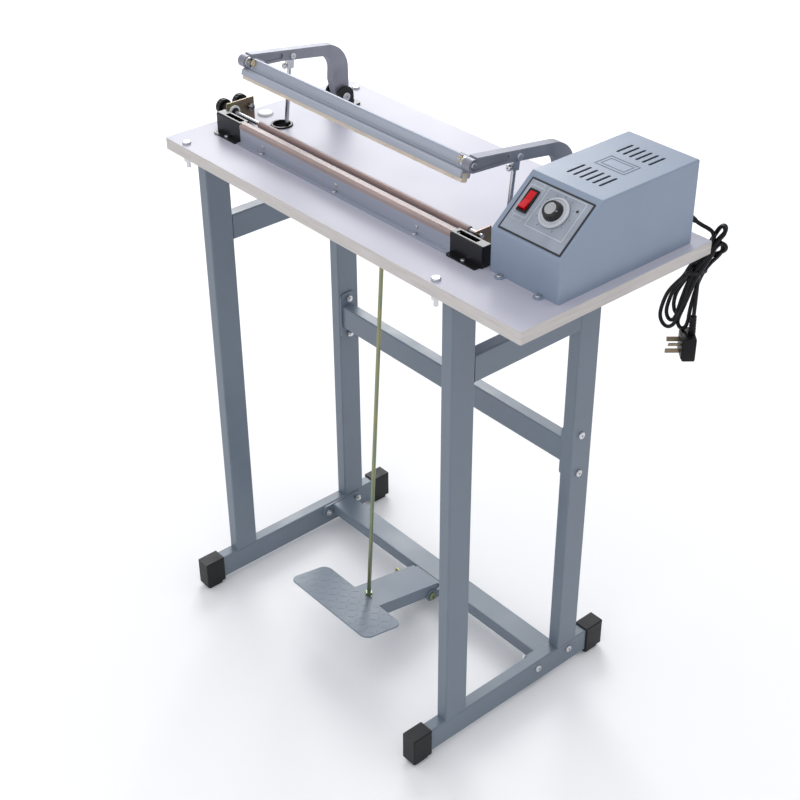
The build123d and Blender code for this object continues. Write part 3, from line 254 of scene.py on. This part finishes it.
NODE_LOOK = {
    "cap_rubber": ["foot_caps"],
    "knob_plastic": ["grommets", "roll_knob", "lock_knob", "switch_housing", "micro_switch", "timer_dial"],
    "cord_pvc": ["cord_gland", "power_plug"],
    "white_plastic": ["hole_plug"],
    "laminate": ["tabletop"],
    "edging": ["edge_band"],
    "box_paint": ["control_cover"],
    "pedal_paint": ["pedal_plate", "pedal_arm"],
    "silicone": ["silicone_strip"],
    "black_gloss": ["end_bracket_left", "end_bracket_right", "pivot_brackets"],
    "zinc": [
        "stand_bolts", "table_bolts", "bench_screws", "arm_fasteners",
        "pivot_axles", "swivel_blocks", "bar_lugs",
    ],
    "steel_rod": ["lift_rods", "roll_shaft"],
    "dark_steel": ["return_springs"],
    "cast": ["press_arm_left", "press_arm_right"],
    "extruded": ["press_bar", "seal_base"],
    "brass": ["terminal_blocks"],
    "ribbon": ["heating_element"],
    "yellow_zinc": ["pull_rod", "pedal_bolt"],
    "bracket_zinc": ["roll_brackets"],
    "cloth": ["cloth_roll", "element_bed"],
    "seal_cloth": ["ptfe_cloth"],
    "red": ["switch_rocker"],
    "core": ["transformer", "control_floor"],
    "circuit": ["timer_board"],
    "panel_border": ["panel_plate"],
}
finished = {node: look for look, nodes in NODE_LOOK.items() for node in nodes}
for name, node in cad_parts.items():
    look = LOOKS[finished.get(name, "stand_paint")]
    if not node.data.materials:
        node.data.materials.append(look)
    for index in range(len(node.data.materials)):
        node.data.materials[index] = look


# ---------------------------------------------------------------- building pieces
CREASE = math.radians(35)


def piece(name, bm, look, body, smooth=True):
    """An object made from a bmesh, with its material and body."""
    mesh = bpy.data.meshes.new(name)
    bm.to_mesh(mesh)
    bm.free()
    mesh.materials.append(LOOKS[look])
    obj = bpy.data.objects.new(name, mesh)
    bpy.context.collection.objects.link(obj)
    if smooth:
        mesh.shade_smooth()
        mesh.set_sharp_from_angle(angle=CREASE)
    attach(obj, body)
    return obj


def around(radius, angle, height):
    """A point at a radius and an angle about Z."""
    return Vector((radius * math.cos(angle), radius * math.sin(angle), height))


def lathe(bm, profile, matrix, steps):
    """Turn a profile of (radius, height) about the matrix's Z, closed into a solid."""
    rings = []
    for k in range(steps):
        angle = 2 * math.pi * k / steps
        rings.append([bm.verts.new(matrix @ around(r, angle, h)) for r, h in profile])
    for a, b in zip(rings, rings[1:] + rings[:1]):
        for i in range(len(profile) - 1):
            bm.faces.new((a[i], b[i], b[i + 1], a[i + 1]))
    for i in (0, len(profile) - 1):
        bm.faces.new([ring[i] for ring in (rings if i else reversed(rings))])
    bmesh.ops.recalc_face_normals(bm, faces=bm.faces)


def skin(bm, rows):
    """Faces between neighbouring rows of points, each row a closed ring."""
    for lower, upper in zip(rows, rows[1:]):
        for k in range(len(lower)):
            after = (k + 1) % len(lower)
            bm.faces.new((lower[k], lower[after], upper[after], upper[k]))


def brick(bm, matrix, size, soften=0.0):
    """A box of a given size about a matrix's origin, its edges softened."""
    made = bmesh.ops.create_cube(bm, size=1.0)["verts"]
    for vert in made:
        vert.co = matrix @ Vector([c * s for c, s in zip(vert.co, size)])
    if soften:
        edges = list({e for v in made for e in v.link_edges})
        bmesh.ops.bevel(bm, geom=edges, offset=soften, segments=2, affect="EDGES", profile=0.6)


# ---------------------------------------------------------------- mains cord
CORD = 0.0052
ROUTE = [
    # out of the gland, low over the board's rear edge, and down to the tie
    (331, 150, 811), (334.5, 157.6, 804), (340, 163.5, 800), (346, 168, 795), (347, 170.5, 783),
    (338, 170.8, 768), (327, 170.8, 753), (315, 170.8, 735), (308, 170.8, 718),
    # outer loop below the tie and back up to the high fold
    (296, 170.8, 702), (284, 171, 684), (277, 171.5, 662), (274, 172.5, 644), (280, 173.5, 633),
    (291, 173, 633), (301, 172, 645), (308, 171, 664), (314, 170.8, 690), (319, 170.8, 716),
    (329, 170.8, 738), (339.5, 170.8, 755), (347, 170.8, 773), (354, 171, 787), (360.5, 172, 797),
    (358.5, 173.6, 804.5), (351, 174.9, 803), (344.5, 175.7, 792), (338.5, 176, 778), (330, 176, 760),
    (316, 176, 737), (308, 176, 718),
    # second loop
    (297, 176, 700), (287, 176.5, 682), (282, 177, 664), (280, 177.5, 651), (284, 177.5, 642),
    (292, 177.3, 642), (297.5, 176.8, 652), (300, 176.5, 664), (306, 176, 690), (313.4, 176, 716),
    (323, 176, 737), (334, 176, 757), (343, 176, 775), (350.5, 177.3, 787), (356.5, 178.6, 796),
    (355, 180.2, 802.5), (348, 181.2, 801), (341.5, 181.4, 789), (337, 181.2, 778), (329, 181.2, 760),
    (315, 181.2, 737), (308, 181.2, 718),
    # third loop, and the small fold beside the board's corner
    (299, 181.2, 700), (291, 181.2, 684), (288, 181.2, 670), (288.5, 181.2, 660), (292.5, 181.2, 652.5),
    (300, 181.2, 655), (304, 181.2, 668), (308, 181.2, 690), (314, 181.2, 714), (324, 181.2, 736),
    (337, 181.2, 754), (348, 181, 763), (357, 180, 769), (361.5, 177.8, 777), (357, 174, 783),
    (350, 171.2, 776), (345, 170.8, 760), (336, 170.8, 741), (325, 170.8, 718),
    # last loop behind the plug's relief
    (319, 171.5, 698), (312, 172.5, 676), (305, 174, 657), (301.5, 175.2, 645), (305.5, 177, 637),
    (312, 179, 639), (314.5, 180.8, 650), (314.5, 181.2, 662), (316.5, 181.4, 680), (320.5, 181.4, 702),
    (326, 181.4, 722), (336, 181.4, 742), (345, 181, 754), (352.5, 180.4, 765), (355, 179.6, 775),
    (350, 178.4, 781), (343.5, 177.4, 773), (338, 176.4, 758), (332, 176, 742), (326.5, 176.4, 726),
    (325, 177, 712),
    # straight down to the plug
    (324.2, 178.4, 694), (323, 180, 678), (323, 180, 662),
]
line = bpy.data.curves.new("cord", "CURVE")
line.dimensions, line.bevel_depth, line.bevel_resolution, line.resolution_u = "3D", CORD / 2, 5, 10
line.use_fill_caps = True
spline = line.splines.new("NURBS")
spline.points.add(len(ROUTE) - 1)
for point, place_mm in zip(spline.points, ROUTE):
    point.co = (*[c * MM for c in place_mm], 1)
spline.order_u = 3
spline.use_endpoint_u = True
cord = bpy.data.objects.new("cord", line)
line.materials.append(LOOKS["cord_pvc"])
bpy.context.collection.objects.link(cord)
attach(cord, "stand")
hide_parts("power_cord", "cord_hank")

# moulded plug: softened body with finger ridges, ribbed neck, three flat pins
PLUG_TALL, NECK, PLUG_TURN = 0.034, 0.026, math.radians(49)
NECK_OFFSET = 0.004
cord_end = Vector(ROUTE[-1]) * MM
plug_centre = cord_end - Vector((0, 0, NECK + PLUG_TALL / 2))
plug_place = Matrix.Translation(plug_centre) @ Matrix.Rotation(PLUG_TURN, 4, "Z")
plug_place = plug_place @ Matrix.Translation((-NECK_OFFSET, 0, 0))
bm = bmesh.new()
brick(bm, plug_place, (0.018, 0.034, PLUG_TALL), 0.0028)
brick(bm, plug_place @ Matrix.Translation((-0.0088, 0, 0)), (0.0022, 0.030, PLUG_TALL - 0.006), 0.0008)
for k in range(4):
    ridge = plug_place @ Matrix.Translation((0.0091, 0, -0.009 + 0.006 * k))
    brick(bm, ridge, (0.0012, 0.020, 0.0022), 0.0005)
GROOVE, RIB_TAPER = 0.0039, 0.00016
neck_profile = [(0.0049, -0.001)]
for k in range(5):
    z = 0.0035 + 0.0044 * k
    neck_profile += [
        (0.0049 - RIB_TAPER * k, z), (GROOVE, z + 0.0006),
        (GROOVE, z + 0.0018), (0.0048 - RIB_TAPER * k, z + 0.0024),
    ]
neck_profile += [(0.0040, NECK - 0.0006), (0.0030, NECK)]
lathe(bm, neck_profile, plug_place @ Matrix.Translation((NECK_OFFSET, 0, PLUG_TALL / 2)), 32)
plug_body = piece("plug_body", bm, "plug_body", "stand")
bm = bmesh.new()
for dy, dz, tilt, reach in ((-0.007, 0.004, 30, 0.018), (0.007, 0.004, -30, 0.018), (0, -0.0095, 0, 0.020)):
    pin = plug_place @ Matrix.Translation((-0.0085 - reach / 2, dy, dz))
    pin = pin @ Matrix.Rotation(math.radians(tilt), 4, "X")
    brick(bm, pin, (reach, 0.0016, 0.0063), 0.0004)
plug_pins = piece("plug_pins", bm, "pin_brass", "stand", smooth=False)
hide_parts("power_plug")

# the tie that holds the folded cord: a squarish band, a little higher towards the board's end
TIE_AT, TIE_HALF, TIE_LEAN, TIE_STEPS = (0.3212, 0.1762, 0.7275), (0.0128, 0.0084), 0.3, 48


def squarish(value):
    """Push a sine or cosine outwards, so that a ring turns into a rounded rectangle."""
    return math.copysign(abs(value) ** 0.6, value)


bm = bmesh.new()
rows = []
for swell, z in ((0.0, -0.0026), (0.0009, -0.0021), (0.0011, 0.0), (0.0009, 0.0021), (0.0, 0.0026)):
    row = []
    for k in range(TIE_STEPS):
        angle = 2 * math.pi * k / TIE_STEPS
        x = squarish(math.cos(angle)) * (TIE_HALF[0] + swell)
        y = squarish(math.sin(angle)) * (TIE_HALF[1] + swell)
        row.append(bm.verts.new((TIE_AT[0] + x, TIE_AT[1] + y, TIE_AT[2] + z + TIE_LEAN * x)))
    rows.append(row)
skin(bm, rows + rows[:1])
bmesh.ops.recalc_face_normals(bm, faces=bm.faces)
cord_tie = piece("cord_tie", bm, "knob_plastic", "stand")

# ---------------------------------------------------------------- control panel
# the sloping face, from its lower left corner; FACE is how far the plate stands proud of it
SLOPE_TALL, SLOPE_DEEP = 110 - 55.6, 94 - 29.5
SLOPE_AT = (0.2254, -0.094, 0.8436)
FACE, INK = 0.0008, 0.00012
slope = Matrix.Translation(SLOPE_AT) @ Matrix.Rotation(math.atan2(SLOPE_TALL, SLOPE_DEEP), 4, "X")


def flat(bm, x0, x1, s0, s1, low=0.0, high=INK):
    """A thin slab on the panel, given by its edges in millimetres along the slope."""
    centre = Vector(((x0 + x1) / 2 * MM, (s0 + s1) / 2 * MM, FACE + (low + high) / 2))
    brick(bm, slope @ Matrix.Translation(centre), ((x1 - x0) * MM, (s1 - s0) * MM, high - low))


def outline(bm, x0, x1, s0, s1, width):
    """A thin printed rectangle."""
    for a, b, c, d in (
        (x0, x1, s0, s0 + width), (x0, x1, s1 - width, s1),
        (x0, x0 + width, s0 + width, s1 - width), (x1 - width, x1, s0 + width, s1 - width),
    ):
        flat(bm, a, b, c, d, INK, 0.0002)


bm = bmesh.new()
for edges in (
    (10.3, 16.9, 6.6, 74.0), (31.1, 105.0, 6.6, 74.0),
    (16.9, 31.1, 6.6, 32.2), (16.9, 31.1, 62.4, 74.0),
):
    flat(bm, *edges)
piece("panel_field", bm, "panel_field", "stand", smooth=False)
bm = bmesh.new()
outline(bm, 13.2, 34.8, 27.5, 67.5, 0.45)
outline(bm, 16.6, 31.4, 68.0, 73.0, 0.35)
outline(bm, 16.6, 31.4, 21.5, 27.0, 0.35)
outline(bm, 39.0, 97.5, 20.0, 72.5, 0.7)
piece("panel_lines", bm, "print_light", "stand", smooth=False)
DIAL_AT, TICK_RADIUS, TICKS = (0.066, 0.047, 0), 0.023, 11
dial_place = slope @ Matrix.Translation(DIAL_AT)
bm = bmesh.new()
for k in range(TICKS):
    angle = math.radians(240 - 30 * k)
    long = 0.0032 if k % 5 == 0 else 0.0018
    tick = dial_place @ Matrix.Translation(around(TICK_RADIUS, angle, FACE + 0.00016))
    brick(bm, tick @ Matrix.Rotation(angle, 4, "Z"), (long, 0.0007, 0.0001))
piece("panel_ticks", bm, "print_dark", "stand", smooth=False)
bm = bmesh.new()
lathe(bm, [(0.0017, -0.0002), (0.0017, 0.0006), (0.0012, 0.0010), (0.0003, 0.0011)],
      slope @ Matrix.Translation((0.0915, 0.0600, FACE)), 24)
piece("panel_lamp", bm, "lamp", "stand")

# timer dial: clear skirt, tapered ribbed grip and bright cap
bm = bmesh.new()
lathe(bm, [
    (0.0030, -0.0150), (0.0030, 0.0018), (0.0185, 0.0018), (0.0195, 0.0022), (0.0195, 0.0034),
    (0.0186, 0.0044), (0.0165, 0.0048), (0.0158, 0.0042), (0.0142, 0.0042), (0.0136, 0.0048),
    (0.0100, 0.0048),
], dial_place, 96)
dial_skirt = piece("dial_skirt", bm, "clear_skirt", "dial")
GRIP_STEPS, FLUTE = 96, 0.0007
GRIP = (
    # radius, height, whether the flutes cut it
    (0.0128, 0.0046, False), (0.0127, 0.0056, True), (0.0112, 0.0118, True),
    (0.0106, 0.0128, False), (0.0078, 0.0128, False),
)
bm = bmesh.new()
rings = []
for radius, height, fluted in GRIP:
    ring = []
    for k in range(GRIP_STEPS):
        cut = FLUTE if fluted and k % 4 == 0 else 0.0
        ring.append(bm.verts.new(dial_place @ around(radius - cut, 2 * math.pi * k / GRIP_STEPS, height)))
    rings.append(ring)
skin(bm, rings)
bm.faces.new(rings[-1])
bm.faces.new(list(reversed(rings[0])))
bmesh.ops.recalc_face_normals(bm, faces=bm.faces)
piece("dial_grip", bm, "dial_grip", "dial")
bm = bmesh.new()
lathe(bm, [
    (0.0074, 0.0126), (0.0074, 0.0133), (0.0069, 0.0138),
    (0.0045, 0.0137), (0.0042, 0.0134), (0.0004, 0.0134),
], dial_place, 48)
brick(bm, dial_place @ Matrix.Translation((0.0095, 0, 0.0129)), (0.0030, 0.0009, 0.0005))
piece("dial_cap", bm, "dial_cap", "dial")
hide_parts("timer_dial")

# blank plate on top of the box: two frames of thin beads, one inside the other
PLATE_AT = (0.284, 0.052, 0.8981)
bm = bmesh.new()
for width, depth, bead, tall in ((0.046, 0.0296, 0.0012, 0.0007), (0.036, 0.0188, 0.0008, 0.0006)):
    for side in (-1, 1):
        along = Matrix.Translation((0, side * (depth - bead) / 2, 0))
        brick(bm, Matrix.Translation(PLATE_AT) @ along, (width, bead, tall))
    for side in (-1, 1):
        across = Matrix.Translation((side * (width - bead) / 2, 0, 0))
        brick(bm, Matrix.Translation(PLATE_AT) @ across, (bead, depth - 2 * bead, tall))
piece("blank_plate", bm, "plate_edge", "stand", smooth=False)

# ---------------------------------------------------------------- pedal tread and small pieces
# raised checker bars over the plate, none in its rounded corners
PEDAL_TILT, BAR_LEAN = math.radians(-10.7), math.radians(52)
COLUMNS, LINES, COLUMN_STEP, LINE_STEP = 15, 6, 0.0121, 0.0126
hinge = Matrix.Translation((0, 0.042, 0.0415)) @ Matrix.Rotation(PEDAL_TILT, 4, "X")
bm = bmesh.new()
for i in range(COLUMNS):
    for j in range(LINES):
        if i in (0, COLUMNS - 1) and j in (0, LINES - 1):
            continue
        spot = hinge @ Matrix.Translation((-0.144 + COLUMN_STEP * i, -0.185 + LINE_STEP * j, 0.0205))
        lean = BAR_LEAN if (i + j) % 2 else -BAR_LEAN
        brick(bm, spot @ Matrix.Rotation(lean, 4, "Z"), (0.0100, 0.0015, 0.0005), 0.0002)
piece("pedal_tread", bm, "pedal_paint", "pedal")

# brass nuts in front of the bar, placed closed and swung up with the arms
ARM_AXIS, ARM_LIFT = Vector((0, 0.0845, 0.8075)), math.radians(-19)
swing = Matrix.Translation(ARM_AXIS) @ Matrix.Rotation(ARM_LIFT, 4, "X") @ Matrix.Translation(-ARM_AXIS)
bm = bmesh.new()
for x in (-0.257, 0.1535):
    nut = swing @ Matrix.Translation((x, -0.0962, 0.8426)) @ Matrix.Rotation(math.radians(90), 4, "X")
    lathe(bm, [
        (0.0021, -0.0001), (0.0043, -0.0001), (0.0043, 0.0030), (0.0038, 0.0035), (0.0021, 0.0035),
    ], nut, 6)
piece("bar_nuts", bm, "brass", "press_arms", smooth=False)

# nut on the clamp screw, the collar on the roll's shaft, and a black ring inside the collar that is painted
# shade in its bore
axis_x = Matrix.Rotation(math.radians(90), 4, "Y")
lock_place = Matrix.Translation((-0.3202, -0.0428, 0.8095)) @ axis_x
roll_place = Matrix.Translation((-0.3208, -0.0708, 0.8096)) @ axis_x
bm = bmesh.new()
lathe(bm, [
    (0.0056, 0.0), (0.0056, 0.0042), (0.0048, 0.0048), (0.0030, 0.0048), (0.0026, 0.0062),
], lock_place, 6)
piece("lock_nut", bm, "zinc", "lock_screw", smooth=False)
bm = bmesh.new()
lathe(bm, [
    (0.0062, 0.0), (0.0088, 0.0), (0.0092, 0.0006), (0.0092, 0.0026), (0.0086, 0.0032), (0.0062, 0.0032),
], roll_place, 40)
piece("roll_collar", bm, "white_plastic", "cloth_spindle")
# painted shade: a black ring filling the collar's bore, where the hole lies in shadow
bm = bmesh.new()
lathe(bm, [
    (0.0031, 0.0), (0.0061, 0.0), (0.0061, 0.0040), (0.0052, 0.0046), (0.0031, 0.0046),
], roll_place, 40)
piece("roll_bore_shade", bm, "knob_plastic", "cloth_spindle")

# ---------------------------------------------------------------- light and floor
floor_bm = bmesh.new()
FLOOR_HALF = 14.0
bmesh.ops.create_grid(floor_bm, x_segments=1, y_segments=1, size=FLOOR_HALF)
floor_mesh = bpy.data.meshes.new("floor")
floor_bm.to_mesh(floor_mesh)
floor_bm.free()
floor_mesh.materials.append(LOOKS["plain_floor"])
floor = bpy.data.objects.new("floor", floor_mesh)
bpy.context.collection.objects.link(floor)

world = bpy.data.worlds.new("studio")
bpy.context.scene.world = world
world.use_nodes = True
tree = world.node_tree
coords = tree.nodes.new("ShaderNodeTexCoord")
split = tree.nodes.new("ShaderNodeSeparateXYZ")
height = tree.nodes.new("ShaderNodeValToRGB")
horizon, zenith = height.color_ramp.elements
horizon.position, horizon.color = 0.50, (0.68, 0.70, 0.74, 1)
zenith.position, zenith.color = 0.78, (1.18, 1.18, 1.21, 1)
tree.links.new(coords.outputs["Generated"], split.inputs["Vector"])
tree.links.new(split.outputs["Z"], height.inputs["Fac"])
tree.links.new(height.outputs["Color"], tree.nodes["Background"].inputs["Color"])
tree.nodes["Background"].inputs["Strength"].default_value = 0.9


def softbox(name, spot, target, size, power):
    """Square area light aimed at a point."""
    light = bpy.data.lights.new(name, "AREA")
    light.shape, light.size, light.energy = "SQUARE", size, power
    lamp = bpy.data.objects.new(name, light)
    lamp.location = spot
    lamp.rotation_euler = (Vector(target) - Vector(spot)).to_track_quat("-Z", "Y").to_euler()
    bpy.context.collection.objects.link(lamp)


softbox("key", (-3.7, 2.7, 3.2), (0, 0, 0.6), 2.4, 120)
softbox("fill", (1.2, -3.2, 1.8), (0, 0, 0.5), 2.6, 18)
